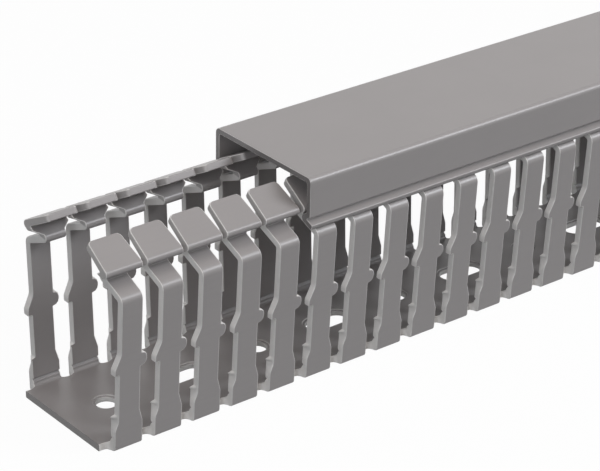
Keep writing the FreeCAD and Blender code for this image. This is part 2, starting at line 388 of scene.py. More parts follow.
def share_past(sheet, along, row):
    """How far past a row each distance along the sheet lies, as a share of the way to the next."""
    start, end = sheet["along"][row], sheet["along"][row + 1]
    return ((along - start) / (end - start))[..., None]


def between(sheet, side, along, row):
    """Points of a face at distances along the sheet: straight between a row and the next."""
    share = share_past(sheet, along, row)
    return sheet[side][row] * (1 - share) + sheet[side][row + 1] * share


def normal_between(sheet, side, along, row):
    """Normals of a face at distances along the sheet, blended between a row and the next."""
    share = share_past(sheet, along, row)
    start, end = sheet[side + "_after"][row], sheet[side + "_before"][row + 1]
    return unit(start * (1 - share) + end * share)


def row_under(sheet, along):
    """Row at or below each distance along the sheet."""
    row = np.searchsorted(sheet["along"], along, side="right") - 1
    return np.clip(row, 0, len(sheet["along"]) - 2)


def edge_rounding(radius):
    """Quarter circle from one face round to the next, at the angles a of a rounded edge.

    Returns the angles, the insets r * (1 - sin a) and the depths r * (1 - cos a).
    """
    angle = np.radians(EDGE_ANGLES)
    return angle, radius * (1 - np.sin(angle)), radius * (1 - np.cos(angle))


def quads(start, end):
    """Four-cornered faces between two lines of points, which run along the last axis but one."""
    corners = [start[..., :-1, :], start[..., 1:, :], end[..., 1:, :], end[..., :-1, :]]
    return np.stack(corners, -2)


def bands(rings):
    """Faces between each closed ring of points and the next ring, along the axis before."""
    closed = np.concatenate([rings, rings[..., :1, :]], -2)
    return quads(closed[..., :-1, :, :], closed[..., 1:, :, :])


class Shell:
    """Faces gathered as loose corners for one mesh, with a normal for every corner."""

    def __init__(self):
        self.groups = []

    def add(self, points, normals, cut=0.0):
        """Adds faces of equal corner count: arrays of (..., corners, 3)."""
        corners = points.shape[-2]
        normals = np.broadcast_to(normals, points.shape)
        cut = np.broadcast_to(cut, points.shape[:-1])
        self.groups.append(
            (
                points.reshape(-1, corners, 3),
                normals.reshape(-1, corners, 3),
                cut.reshape(-1, corners),
            )
        )

    def welded(self):
        """Points with no doubles, and for each gathered corner the index of its point."""
        points = np.concatenate([group[0].reshape(-1, 3) for group in self.groups])
        keys = np.round(points / WELD).astype(np.int64)
        _, first, index = np.unique(keys, axis=0, return_index=True, return_inverse=True)
        return points[first], index.ravel()

    def faces(self, points, welded):
        """Turns every face towards its normals, and drops doubled corners and empty faces.

        Returns the point, normal and cut mark of each corner, and each face's corner count.
        """
        loops, normals, cuts, sizes = [], [], [], []
        start = 0
        for corners, normal, cut in self.groups:
            index = welded[start : start + corners[..., 0].size].reshape(corners.shape[:2])
            start += index.size
            spokes = points[index] - points[index[:, :1]]
            area = np.cross(spokes, np.roll(spokes, -1, axis=1)).sum(1)
            wrong = np.einsum("ij,ij->i", area, normal.sum(1)) < 0
            index = np.where(wrong[:, None], index[:, ::-1], index)
            normal = np.where(wrong[:, None, None], normal[:, ::-1], normal)
            cut = np.where(wrong[:, None], cut[:, ::-1], cut)
            keep = index != np.roll(index, 1, axis=1)
            counts = keep.sum(1)
            keep &= ((counts > 2) & (np.linalg.norm(area, axis=1) > NO_AREA))[:, None]
            loops.append(index[keep])
            normals.append(normal[keep])
            cuts.append(cut[keep])
            sizes.append(keep.sum(1)[keep.any(1)])
        return (np.concatenate(part) for part in (loops, normals, cuts, sizes))

    def mesh(self, name):
        """Makes a smooth mesh of the gathered faces, with their own normals and cut marks."""
        points, welded = self.welded()
        loops, normals, cuts, sizes = self.faces(points, welded)
        used, loops = np.unique(loops, return_inverse=True)
        mesh = bpy.data.meshes.new(name)
        mesh.vertices.add(len(used))
        mesh.vertices.foreach_set("co", points[used].astype(np.float32).ravel())
        mesh.loops.add(len(loops))
        mesh.loops.foreach_set("vertex_index", loops.ravel().astype(np.int32))
        mesh.polygons.add(len(sizes))
        starts = np.concatenate([[0], np.cumsum(sizes)[:-1]]).astype(np.int32)
        mesh.polygons.foreach_set("loop_start", starts)
        mesh.polygons.foreach_set("use_smooth", np.ones(len(sizes), bool))
        mesh.update(calc_edges=True)
        marks = mesh.attributes.new(CUT_MARK, "FLOAT", "CORNER")
        marks.data.foreach_set("value", cuts.astype(np.float32))
        if mesh.validate(verbose=True):
            raise RuntimeError(f"{name}: the mesh had faults")
        mesh.normals_split_custom_set(unit(normals).astype(np.float32))
        return mesh


def place(mesh, name, material, body, node):
    """Object at the origin that stands for a CAD node, rides on its body and wears a material."""
    piece = bpy.data.objects.new(name, mesh)
    bpy.context.scene.collection.objects.link(piece)
    mesh.materials.append(material)
    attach(piece, body)
    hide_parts(node)
    return piece


def wall_corners():
    """Middle of the far wall's sheet: a point of the base, foot, ridge, neck, apex, free edge."""
    edge_height = COVER_BOX[1].z - COVER_SHEET - HEAD_TOP_CLEARANCE - CHANNEL_SHEET / 2
    plate = np.array([-PLATE_FOLD[0], PLATE_FOLD[1]])
    leg = np.array([-LEG_FOLD[0], -LEG_FOLD[1]])
    inward = unit(unit(plate) + unit(leg))
    half_turn = math.acos(inward @ unit(plate))
    outer = APEX_RADII[0]
    reach = outer + inward[0] * (outer - CHANNEL_SHEET / 2) / math.sin(half_turn)
    apex_width = COVER_WIDTH / 2 - COVER_SHEET - HEAD_SIDE_CLEARANCE - reach
    apex = np.array([apex_width, edge_height - PLATE_FOLD[1]])
    neck = apex + leg
    ridge = neck + np.array([SHOULDER_FOLD[0], -SHOULDER_FOLD[1]])
    foot = np.array([(BASE_WIDTH - CHANNEL_SHEET) / 2, CHANNEL_SHEET / 2])
    return np.array([foot * [0.5, 1], foot, ridge, neck, apex, apex + plate])


def wall_sheet():
    """Bent sheet of a wall, from the straight edge of the base up to the plate's free edge.

    The foot's rows are laid again, so that one row lies upright over the line that the notches
    are punched to.  Level rows then cross the wall at the groove, whose row is pressed in.
    """
    sheet = bent_sheet(
        wall_corners(), CHANNEL_SHEET, [FOOT_RADII, RIDGE_RADII, NECK_RADII, APEX_RADII]
    )
    outer, inner = FOOT_RADII
    foot_end = BEND_STEPS + 1
    turn = math.atan2(-sheet["left_after"][foot_end, 0], sheet["left_after"][foot_end, 1])
    root, corner = sheet["left"][1, 0], sheet["right"][1, 0]
    at_punch = math.asin((NOTCH_EDGE - root) / inner)
    above = np.concatenate([[0], np.linspace(at_punch, turn, BEND_STEPS)])
    below = np.linspace(0, turn, BEND_STEPS - 1)
    left = [root, CHANNEL_SHEET + inner] - inner * left_of(above)
    right = [corner, outer] - outer * left_of(below)
    right = np.concatenate([[[root, 0], [NOTCH_EDGE, 0]], right])
    below = np.concatenate([[0, 0], below])

    groove_top = SCORE_HEIGHT + SCORE_HALF_WIDTH
    levels = np.array([SCORE_HEIGHT, groove_top, *np.linspace(*NEAR_FOOT_TAPER, TAPER_STEPS)])
    wall = slice(foot_end, foot_end + 2)

    def level_points(side):
        line = sheet[side][wall]
        share = ((levels - line[0, 1]) / (line[1, 1] - line[0, 1]))[:, None]
        return line[0] + (line[1] - line[0]) * share

    straight = np.repeat(sheet["left_after"][foot_end : foot_end + 1], len(levels), axis=0)
    fresh = {
        "left": (left, level_points("left")),
        "right": (right, level_points("right")),
        "left_before": (left_of(above), straight),
        "left_after": (left_of(above), straight),
        "right_before": (-left_of(below), -straight),
        "right_after": (-left_of(below), -straight),
    }
    for name, (foot_rows, level_rows) in fresh.items():
        sheet[name] = np.concatenate([foot_rows, level_rows, sheet[name][foot_end + 1 :]])
    groove = len(above)
    sheet["left"][groove] -= SCORE_DEPTH * straight[0]
    runs = np.diff(sheet["left"][groove - 1 : groove + 2], axis=0)
    under, over = left_of(np.arctan2(runs[:, 1], runs[:, 0]))
    sheet["left_after"][groove - 1] = sheet["left_before"][groove] = under
    sheet["left_after"][groove] = sheet["left_before"][groove + 1] = over
    return measure(sheet)


def finger_outline(sheet):
    """Outline of a finger from its near root over the free edge to its far root.

    Each corner is x from the finger's middle, the distance along the bent sheet and a radius.
    Returns the rounded outline and the heading at each point; the material lies to the right.
    """
    along = sheet["along"]
    height = (sheet["left"][:, 1] + sheet["right"][:, 1]) / 2
    groove = BEND_STEPS + 1
    wall = [groove + 1, groove + 1 + TAPER_STEPS]
    neck_end = wall[1] + 2 * (BEND_STEPS + 1)
    leg = [neck_end, neck_end + 1]
    neck_height = wall_corners()[NECK, 1]

    def on_wall(z):
        share = (z - height[wall[0]]) / (height[wall[1]] - height[wall[0]])
        return along[wall[0]] + share * (along[wall[1]] - along[wall[0]])

    notch = along[1]
    flare = np.interp(neck_height + np.array(HEAD_FLARE_RISES), height[leg], along[leg])
    plate_start = along[-2]
    near = [
        (SLOT_MIDDLE - FINGER_PITCH, notch, 0),
        (-FOOT_NEAR_HALF_WIDTH, notch, NOTCH_RADIUS),
        (-FOOT_NEAR_HALF_WIDTH, on_wall(NIB[1]), NIB_RADII[0]),
        (-FOOT_NEAR_HALF_WIDTH - NIB[0], on_wall(NIB[2]), NIB_RADII[1]),
        (-LOWER_NEAR_HALF_WIDTH, on_wall(NIB[3]), NIB_RADII[0]),
        (-LOWER_NEAR_HALF_WIDTH, on_wall(NEAR_BUMP[1]), INNER_CORNER),
        (-NEAR_BUMP[0], on_wall(NEAR_BUMP[1]), SMALL_CORNER),
        (-NEAR_BUMP[0], on_wall(NEAR_BUMP[2]), NEAR_BUMP_RADII[0]),
        (-UPPER_HALF_WIDTH, on_wall(NEAR_BUMP[3]), NEAR_BUMP_RADII[1]),
    ]
    far = [
        (SLOT_MIDDLE, notch, 0),
        (FOOT_FAR_HALF_WIDTH, notch, NOTCH_RADIUS),
        (FOOT_FAR_HALF_WIDTH, on_wall(FOOT_TAPER[0]), SMALL_CORNER),
        (LOWER_FAR_HALF_WIDTH, on_wall(FOOT_TAPER[1]), SMALL_CORNER),
        (LOWER_FAR_HALF_WIDTH, on_wall(FAR_BUMP[1]), FAR_BUMP_ROOTS[0]),
        (FAR_BUMP[0], on_wall(FAR_BUMP[1]), FAR_BUMP_RADII[0]),
        (FAR_BUMP[0], on_wall(FAR_BUMP[2]), FAR_BUMP_RADII[1]),
        (UPPER_HALF_WIDTH, on_wall(FAR_BUMP[2]), FAR_BUMP_ROOTS[1]),
    ]
    head = np.array(
        [
            (UPPER_HALF_WIDTH, flare[0], INNER_CORNER),
            (HEAD_HALF_WIDTH, flare[1], SMALL_CORNER),
            (HEAD_HALF_WIDTH, plate_start, SMALL_CORNER),
            (PLATE_END_HALF_WIDTH, along[-1], PLATE_CORNER_RADIUS),
        ]
    )
    corners = np.concatenate([near, head * [-1, 1, 1], head[::-1], far[::-1]])
    return fillet(corners[:, :2], corners[1:-1, 2], OUTLINE_STEPS)


def near_foot_taper(height):
    """Near edge of a finger on the outside of the wall: x and its slope at each height.

    From the foot's half width to the lower one, x eases in and out as 3 t^2 - 2 t^3.
    """
    start, end = NEAR_FOOT_TAPER
    t = np.clip((height - start) / (end - start), 0, 1)
    step = FOOT_NEAR_HALF_WIDTH - LOWER_NEAR_HALF_WIDTH
    return step * t**2 * (3 - 2 * t) - FOOT_NEAR_HALF_WIDTH, 6 * step * t * (1 - t) / (end - start)


def rowed_outline(sheet, edge_radius):
    """Finger outline with a point added wherever its inner line crosses a row of the sheet.

    The inner line runs one edge radius inside the outline.  Returns the points, the direction
    outward at each, the inner line, and for each row the crossings of the near and far side.
    """
    points, headings = finger_outline(sheet)
    outward = left_of(headings)
    inner = points - edge_radius * outward
    start, end = inner[:-1, 1], inner[1:, 1]
    low, high = np.minimum(start, end)[:, None], np.maximum(start, end)[:, None]
    rows = sheet["along"][1:-1]
    segment, row = np.nonzero((rows > low) & (rows < high))
    share = (rows[row] - start[segment]) / (end[segment] - start[segment])
    order = np.argsort(np.concatenate([np.arange(len(points)), segment + share]), kind="stable")

    def with_rows(values):
        fresh = values[segment] + (values[segment + 1] - values[segment]) * share[:, None]
        return np.concatenate([values, fresh])[order]

    crossing = np.concatenate([np.full(len(points), -1), row + 1])[order]
    marks = np.nonzero(crossing > 0)[0]
    near = {crossing[k]: k for k in marks[::-1]}
    far = {crossing[k]: k for k in marks}
    return with_rows(points), unit(with_rows(outward)), with_rows(inner), near, far


def finger_rings(sheet, edge_radius, points, outward, inner):
    """Ring of points across the sheet's thickness, at each point of a finger's outline.

    A ring follows a quarter circle, a straight and a quarter circle: at the angle a the inset
    is r * (1 - sin a) and the depth r * (1 - cos a).  Down the near edge of the foot it turns
    from a step with a torn nib, inside, to a taper, outside.  Returns the rings as x and the
    distance along the sheet, the same in space, and the direction outward at each point.
    """
    _, inset, depth = (np.concatenate([part, part[::-1]]) for part in edge_rounding(edge_radius))
    half = len(inset) // 2
    flat = points[:, None] - inset[None, :, None] * outward[:, None]
    flat[:, [0, -1]] = inner[:, None]
    row = row_under(sheet, flat[..., 1])
    left = between(sheet, "left", flat[..., 1], row)
    across = between(sheet, "right", flat[..., 1], row) - left
    share = depth / np.linalg.norm(across, axis=-1)
    share[:, half:] = 1 - share[:, half:]

    bottom, top = NEAR_FOOT_REGION
    height = left[:, 0, 1]
    on_foot = (points[:, 0] < 0) & (height > bottom) & (height < top)
    twist = on_foot[:, None] * share
    taper, slope = near_foot_taper(left[..., 1])
    flat[..., 0] += twist * (taper + inset - flat[..., 0])
    tapered = unit(np.stack([-np.ones_like(slope), slope], -1))
    twist = twist[..., None]
    toward = unit(outward[:, None] * (1 - twist) + tapered * twist)
    rings = np.concatenate([flat[..., :1], left + across * share[..., None]], -1)
    return flat, rings, toward


def ring_normals(sheet, flat, toward, inner):
    """Normals round the rings, at both ends of each stretch of the outline.

    At the angle a it is the broad face's normal times cos a plus the way outward times sin a.
    """
    along = sheet["along"]
    angle = np.radians(EDGE_ANGLES + EDGE_ANGLES[::-1])
    row = row_under(sheet, (inner[:-1, 1] + inner[1:, 1]) / 2)[:, None, None]
    reach = np.clip(np.stack([flat[:-1], flat[1:]], 1)[..., 1], along[row], along[row + 1])
    toward = np.stack([toward[:-1], toward[1:]], 1)
    left_normal = normal_between(sheet, "left", reach, row)
    right_normal = normal_between(sheet, "right", reach, row)
    tangent = np.stack([left_normal[..., 1], -left_normal[..., 0]], -1)
    sideways = np.concatenate([toward[..., :1], toward[..., 1:] * tangent], -1)
    over_left = np.arange(len(angle)) < len(angle) // 2
    face_normal = np.where(over_left[:, None], left_normal, right_normal)
    face_normal = np.concatenate([np.zeros((*face_normal.shape[:-1], 1)), face_normal], -1)
    return face_normal * np.cos(angle)[:, None] + sideways * np.sin(angle)[:, None]


def ring_marks(points, height, punched_end):
    """Paleness marks round the rings, stress whitening with a painted highlight on the rounded
    edges: most on the torn nib, few on the sides of the head.

    Past the punched end lies the free edge of the plate, which is extruded and has none.
    """
    marks = np.tile(EDGE_STRESS_AND_HIGHLIGHT + EDGE_STRESS_AND_HIGHLIGHT[::-1], (len(points), 1))
    half = marks.shape[1] // 2
    torn = points[:, 0] < -FOOT_NEAR_HALF_WIDTH - NIB[0] * TORN_SHARE
    marks[torn, :half] = NIB_PALENESS
    on_head = height > wall_corners()[NECK, 1]
    marks[on_head, half - 1 : half + 1] = HEAD_PALENESS
    marks[points[:, 1] > punched_end] = 0
    return marks[..., None]


def broad_faces(sheet, flat, near, far):
    """Both broad faces of a finger, with one polygon for each row of the sheet.

    The first row also spans half of the slot on either side.
    """
    last = len(sheet["along"]) - 2
    root = np.array([[SLOT_MIDDLE - FINGER_PITCH, 0.0], [SLOT_MIDDLE, 0.0]])
    faces = []
    for row in range(last + 1):
        if row == 0:
            turn = np.r_[len(flat) - 1 : far[1] - 1 : -1, near[1] : -1 : -1]
        elif row == last:
            turn = np.r_[near[row] : far[row] + 1]
        else:
            turn = np.r_[near[row] : near[row + 1] + 1, far[row + 1] : far[row] + 1]
        for side, ring in (("left", 0), ("right", -1)):
            border = flat[turn, ring]
            if row == 0:
                border = np.concatenate([root, border])
            on_face = between(sheet, side, border[:, 1], row)
            normals = normal_between(sheet, side, border[:, 1], row)
            points = np.concatenate([border[:, :1], on_face], 1)
            normals = np.concatenate([np.zeros((len(border), 1)), normals], 1)
            faces.append((points[None], normals[None], np.zeros((1, len(border)))))
    return faces


def finger_faces(edge_radius):
    """Faces of one far finger about x = 0, as (points, normals, cut marks) for each size.

    The outline is carried on the bent sheet, as rings across its thickness and the two broad
    faces between them.  Also returns the first ring and the y where the base meets the root.
    """
    sheet = wall_sheet()
    points, outward, inner, near, far = rowed_outline(sheet, edge_radius)
    flat, rings, toward = finger_rings(sheet, edge_radius, points, outward, inner)
    normals = ring_normals(sheet, flat, toward, inner)
    marks = ring_marks(points, rings[:, 0, 2], sheet["along"][-1] - edge_radius / 2)
    edge = (
        quads(rings[:-1], rings[1:]),
        quads(normals[:, 0], normals[:, 1]),
        quads(marks[:-1], marks[1:])[..., 0],
    )
    return [edge, *broad_faces(sheet, flat, near, far)], rings[0], float(sheet["left"][0, 0])


def add_fingers(shell, faces):
    """Repeats the finger along both walls: x moves by the pitch, and y is mirrored.

    The first root reaches back to the near end.  Nothing passes the far end, where the faces
    that would pass it lie flat in the sawn end.
    """
    middles = (FIRST_FINGER + FINGER_PITCH * np.arange(FINGER_COUNT)).reshape(-1, 1, 1, 1)
    for points, normals, cut in faces:
        x = points[..., 0] + middles
        x[0] = np.where(points[..., 0] < SLOT_MIDDLE - FINGER_PITCH + WELD, 0, x[0])
        beyond = x > DUCT_LENGTH
        x = np.minimum(x, DUCT_LENGTH)
        y = np.broadcast_to(points[..., 1], x.shape)
        z = np.broadcast_to(points[..., 2], x.shape)
        facing = np.broadcast_to(normals, (*x.shape, 3))
        sawn = beyond & (np.abs(facing[..., 0]) > SAWN_LEAN)
        facing = np.where(sawn[..., None], [1.0, 0, 0], facing)
        marks = np.broadcast_to(cut, x.shape)
        for side in (1, -1):
            shell.add(np.stack([x, side * y, z], -1), facing * [1, side, 1], marks)


def hole_walls(edge_radius):
    """Profile of a hole's wall from the underside up: (distance outside the hole, height).

    The step round the upper rim is in it, and every outer edge is a quarter circle like the
    fingers'.  Returns the points and their normals; a sharp corner is there once for each.
    """
    width, depth = RIM_STEP
    floor = CHANNEL_SHEET - depth
    angle, inset, drop = edge_rounding(edge_radius)
    curve = np.stack([inset, drop], 1)
    lean = np.stack([-np.sin(angle), -np.cos(angle)], 1)
    turned = [1, -1]
    parts = [
        (curve, lean),
        ([0, floor] + curve[::-1] * turned, lean[::-1] * turned),
        ([[width, floor]], [[0.0, 1.0]]),
        ([[width, floor]], [[-1.0, 0.0]]),
        ([width, CHANNEL_SHEET] + curve[::-1] * turned, lean[::-1] * turned),
    ]
    return (np.concatenate(part) for part in zip(*parts))


def hole_rings(edge_radius):
    """Rings of points up the walls of all holes, and the normals and cut marks of any one.

    A hole's plan is two half circles, moved apart for a slot: x = c + (r + e) cos a, y = (r + e)
    sin a, with the wall's profile giving e and z.
    """
    middles = FIRST_HOLE + HOLE_SPACING * np.arange(HOLE_COUNT)
    half_circle = np.linspace(-90, 90, HOLE_POINTS // 2 + 1)
    angle = np.radians(np.concatenate([half_circle, half_circle + 180]))
    apart = np.where(np.arange(len(angle)) < len(half_circle), 1, -1)
    is_round = np.arange(HOLE_COUNT) % 2 == 0
    straight = np.where(is_round, 0.0, SLOT_LENGTH / 2 - SLOT_RADIUS)
    radius = np.where(is_round, ROUND_HOLE_RADIUS, SLOT_RADIUS)
    profile, lean = hole_walls(edge_radius)
    reach = radius[:, None, None] + profile[None, :, :1]
    x = middles[:, None, None] + straight[:, None, None] * apart + reach * np.cos(angle)
    rings = np.stack(np.broadcast_arrays(x, reach * np.sin(angle), profile[:, 1:]), -1)
    outward, up = lean[:, :1], lean[:, 1:]
    normals = np.broadcast_arrays(outward * np.cos(angle), outward * np.sin(angle), up)
    marks = np.broadcast_to(np.abs(outward) ** HOLE_FADE, normals[0].shape)
    return rings, np.stack(normals, -1), marks[..., None]


def add_base(shell, root_y, end_ring, edge_radius):
    """Base between the roots of the fingers, in one cell for each hole.

    The faces around a hole are two polygons above and two below, and a sawn end is one polygon
    through the ends of the finger edges.
    """
    rings, normals, marks = hole_rings(edge_radius)
    shell.add(bands(rings), bands(normals), bands(marks)[..., 0])

    starts = FIRST_FINGER + SLOT_MIDDLE - FINGER_PITCH + HOLE_SPACING * np.arange(HOLE_COUNT)
    centres = starts + FINGER_PITCH
    ends = np.minimum(starts + HOLE_SPACING, DUCT_LENGTH)
    starts[0] = 0
    cell = np.stack([starts, starts, centres, ends, ends], 1)
    half = rings.shape[2] // 2
    for side, offset in ((1, half // 2), (-1, half + half // 2)):
        half_ring = (offset + np.arange(half + 1)) % (2 * half)
        edge = root_y * np.array([0, side, side, side, 0])
        for level, row, up in ((CHANNEL_SHEET, -1, 1.0), (0.0, 0, -1.0)):
            border = np.stack(np.broadcast_arrays(cell[:, ::side], edge, level), -1)
            shell.add(np.concatenate([border, rings[:, row, half_ring]], 1), np.array([0, 0, up]))

    top = [[0, CHANNEL_SHEET], [root_y, CHANNEL_SHEET]]
    half_end = np.concatenate([top, end_ring[:, 1:], [[root_y, 0], [0, 0]]])
    outline = np.concatenate([half_end, half_end[1:-1][::-1] * [-1, 1]])
    for x, facing in ((0.0, -1.0), (DUCT_LENGTH, 1.0)):
        shell.add(np.insert(outline, 0, x, axis=1)[None], np.array([facing, 0, 0]), SAWN)


def cover_sheet():
    """The cover's section as a bent sheet, from one hook's lip over the top to the other's.

    Each hook is the line through the wall's ridge, neck and apex, moved out from it by half of
    both sheets and the clearance.  Its upper leg runs on to the middle of the skirt.
    """
    apex, neck, ridge = wall_corners()[[APEX, NECK, RIDGE]]
    gap = (CHANNEL_SHEET + COVER_SHEET) / 2 + HOOK_CLEARANCE
    hook = mitred(np.array([ridge, neck, apex]), -gap)[1]
    skirt = (COVER_WIDTH - COVER_SHEET) / 2
    leg = unit(apex - neck)
    fold = hook + leg * ((skirt - hook[0]) / leg[0])
    lip_edge = hook + unit(ridge - neck) * LIP_LENGTH
    corner = np.array([skirt, COVER_BOX[1].z - COVER_SHEET / 2])
    half = np.array([lip_edge, hook, fold, corner])
    path = np.concatenate([half, half[::-1] * [-1, 1]])
    bends = [HOOK_RADII, COVER_FOLD_RADII, COVER_CORNER_RADII]
    return bent_sheet(path, COVER_SHEET, bends + bends[::-1])


def cover_faces(sawn_edge):
    """Cover as one closed section drawn along X, with slightly rounded sawn ends.

    The section is the bent sheet's two faces joined by rounded lip edges.  Near each end it
    shrinks by r * (1 - sin a) while x runs r * (1 - cos a), a quarter circle.
    """
    sheet = cover_sheet()
    left, right = sheet["left"], sheet["right"]
    tip = np.array([left[1], left[0], right[0], right[1]])
    tip, heading = fillet(tip, [LIP_EDGE_RADIUS] * 2, LIP_STEPS)
    tip, tip_normal = tip[1:-1], -left_of(heading[1:-1])
    mirror = np.array([-1.0, 1.0])
    loop = np.concatenate([tip, right[1:-1], tip[::-1] * mirror, left[1:-1][::-1]])
    right_normal, left_normal = sheet["right_after"][1:-1], sheet["left_after"][1:-1]
    normal = np.concatenate(
        [tip_normal, right_normal, tip_normal[::-1] * mirror, left_normal[::-1]]
    )

    start, end = COVER_BOX[0].x, COVER_BOX[1].x
    angle, inset, depth = edge_rounding(sawn_edge)
    inset = np.concatenate([inset, inset[::-1]])
    x = np.concatenate([start + depth, end - depth[::-1]])[:, None, None]
    lean = np.concatenate([-np.cos(angle), np.cos(angle[::-1])])[:, None, None]
    flat = loop - inset[:, None, None] * normal
    column = (*flat.shape[:2], 1)
    rings = np.concatenate([np.broadcast_to(x, column), flat], -1)
    sideways = normal * np.sqrt(1 - lean**2)
    normals = np.concatenate([np.broadcast_to(lean, column), sideways], -1)
    # Pale marks round the sawn ends paint a highlight line along the rounded edge.
    marks = np.broadcast_to(np.abs(lean) ** SAWN_FADE, column)
    faces = [(bands(rings), bands(normals), bands(marks)[..., 0])]

    tips, rows = len(tip), len(right) - 2
    right_rows = tips + np.arange(rows)
    left_rows = (2 * tips + rows + np.arange(rows))[::-1]
    ladder = np.stack([right_rows[:-1], right_rows[1:], left_rows[1:], left_rows[:-1]], 1)
    near_tip = np.r_[left_rows[0], np.arange(tips), right_rows[0]]
    far_tip = np.r_[right_rows[-1], tips + rows + np.arange(tips), left_rows[-1]]
    for ring, side in ((0, -1.0), (-1, 1.0)):
        for index in (ladder, near_tip[None], far_tip[None]):
            faces.append((rings[ring][index], np.array([side, 0, 0]), SAWN))
    return faces


def add_node(tree, kind, values=None, links=None, **settings):
    """Adds one shader node: settings are its properties, values and links go to its inputs."""
    node = tree.nodes.new(kind)
    for name, value in settings.items():
        setattr(node, name, value)
    for name, value in (values or {}).items():
        node.inputs[name].default_value = value
    for name, output in (links or {}).items():
        tree.links.new(output, node.inputs[name])
    return node


def empty_material(name):
    """New material whose shader tree has no nodes yet."""
    material = bpy.data.materials.new(name)
    material.use_nodes = True
    material.node_tree.nodes.clear()
    return material


def pvc(finish):
    """The one plastic of both pieces, made on first use."""
    return bpy.data.materials.get("extruded_rigid_pvc") or extruded_rigid_pvc(finish)


def extruded_rigid_pvc(finish):
    """Rigid PVC, extruded, punched and sawn: satin grey skin with faint lines along the duct.

    The die leaves long soft lines and slow changes of tone and gloss along X.  The punched edges
    are paler and duller, with the fine grain of torn plastic; their paleness is partly stress
    whitening and partly painted light, a painted highlight along the rounded edges and on the cut
    faces.  A sawn end is drawn a darker, grainy grey.
    """
    material = empty_material("extruded_rigid_pvc")
    tree = material.node_tree
    place_on = add_node(tree, "ShaderNodeTexCoord").outputs["Object"]
    line_scale = 1 / finish.die_line_spacing
    stretch = (line_scale * LINE_STRETCH, line_scale, line_scale)
    stretched = add_node(
        tree, "ShaderNodeMapping", {"Scale": stretch}, {"Vector": place_on}
    ).outputs["Vector"]
    noises = []
    for vector, scale, detail, roughness in (
        (stretched, 1.0, 3.0, 0.6),
        (place_on, 1 / CLOUD_SIZE, 4.0, 0.55),
        (place_on, 1 / GRAIN_SIZE, 2.0, 0.6),
    ):
        values = {"Scale": scale, "Detail": detail, "Roughness": roughness}
        node = add_node(tree, "ShaderNodeTexNoise", values, {"Vector": vector})
        noises.append(node.outputs["Fac"])
    die_lines, clouds, grain = noises
    cut = add_node(tree, "ShaderNodeAttribute", attribute_name=CUT_MARK).outputs["Fac"]

    tone_ranges = (
        (clouds, *NOISE_RANGE, *CLOUD_TONES),
        (die_lines, *NOISE_RANGE, *LINE_TONES),
        (cut, SAWN, 0.0, SAWN_TONE, 1.0),
    )
    tones = []
    for pattern, *limits in tone_ranges:
        values = dict(zip(("From Min", "From Max", "To Min", "To Max"), limits))
        node = add_node(tree, "ShaderNodeMapRange", values, {"Value": pattern})
        tones.append(node.outputs["Result"])
    tone = tones[0]
    for other in tones[1:]:
        tone = add_node(
            tree, "ShaderNodeMath", links={0: tone, 1: other}, operation="MULTIPLY"
        ).outputs["Value"]
    # Mixes in the pale colour where marked: stress whitening, plus painted highlight and painted
    # light on the cut faces.
    colour = add_node(
        tree,
        "ShaderNodeMix",
        {MIX_A: hex_to_linear(finish.plastic), MIX_B: hex_to_linear(finish.punched)},
        {0: cut},
        data_type="RGBA",
    ).outputs[MIX_COLOUR]
    toned = add_node(
        tree, "ShaderNodeVectorMath", links={0: colour, "Scale": tone}, operation="SCALE"
    ).outputs["Vector"]

    dull = add_node(
        tree,
        "ShaderNodeMapRange",
        {"To Min": finish.roughness, "To Max": min(1.0, finish.roughness + CUT_ROUGHNESS)},
        {"Value": cut},
    ).outputs["Result"]
    roughness = add_node(
        tree,
        "ShaderNodeMath",
        {1: LINE_ROUGHNESS, 2: -LINE_ROUGHNESS / 2},
        {0: die_lines},
        operation="MULTIPLY_ADD",
    ).outputs["Value"]
    roughness = add_node(
        tree, "ShaderNodeMath", links={0: roughness, 1: dull}, operation="ADD"
    ).outputs["Value"]

    lines_bump = add_node(
        tree, "ShaderNodeBump", LINE_RELIEF, {"Height": die_lines}
    ).outputs["Normal"]
    grain_depth = add_node(
        tree, "ShaderNodeMath", links={0: grain, 1: cut}, operation="MULTIPLY"
    ).outputs["Value"]
    bump = add_node(
        tree, "ShaderNodeBump", GRAIN_RELIEF, {"Height": grain_depth, "Normal": lines_bump}
    ).outputs["Normal"]
    shader = add_node(
        tree,
        "ShaderNodeBsdfPrincipled",
        {"IOR": 1.53, "Specular IOR Level": 0.5},
        {"Base Color": toned, "Roughness": roughness, "Normal": bump},
    )
    add_node(tree, "ShaderNodeOutputMaterial", links={"Surface": shader.outputs["BSDF"]})
    return material


def seen_directly(tree):
    """1 for rays from the camera, and for mirrored or refracted ones."""
    path = add_node(tree, "ShaderNodeLightPath")
    seen = path.outputs["Is Camera Ray"]
    for kind in ("Is Glossy Ray", "Is Transmission Ray"):
        seen = add_node(
            tree, "ShaderNodeMath", links={0: seen, 1: path.outputs[kind]}, operation="MAXIMUM"
        ).outputs["Value"]
    return seen


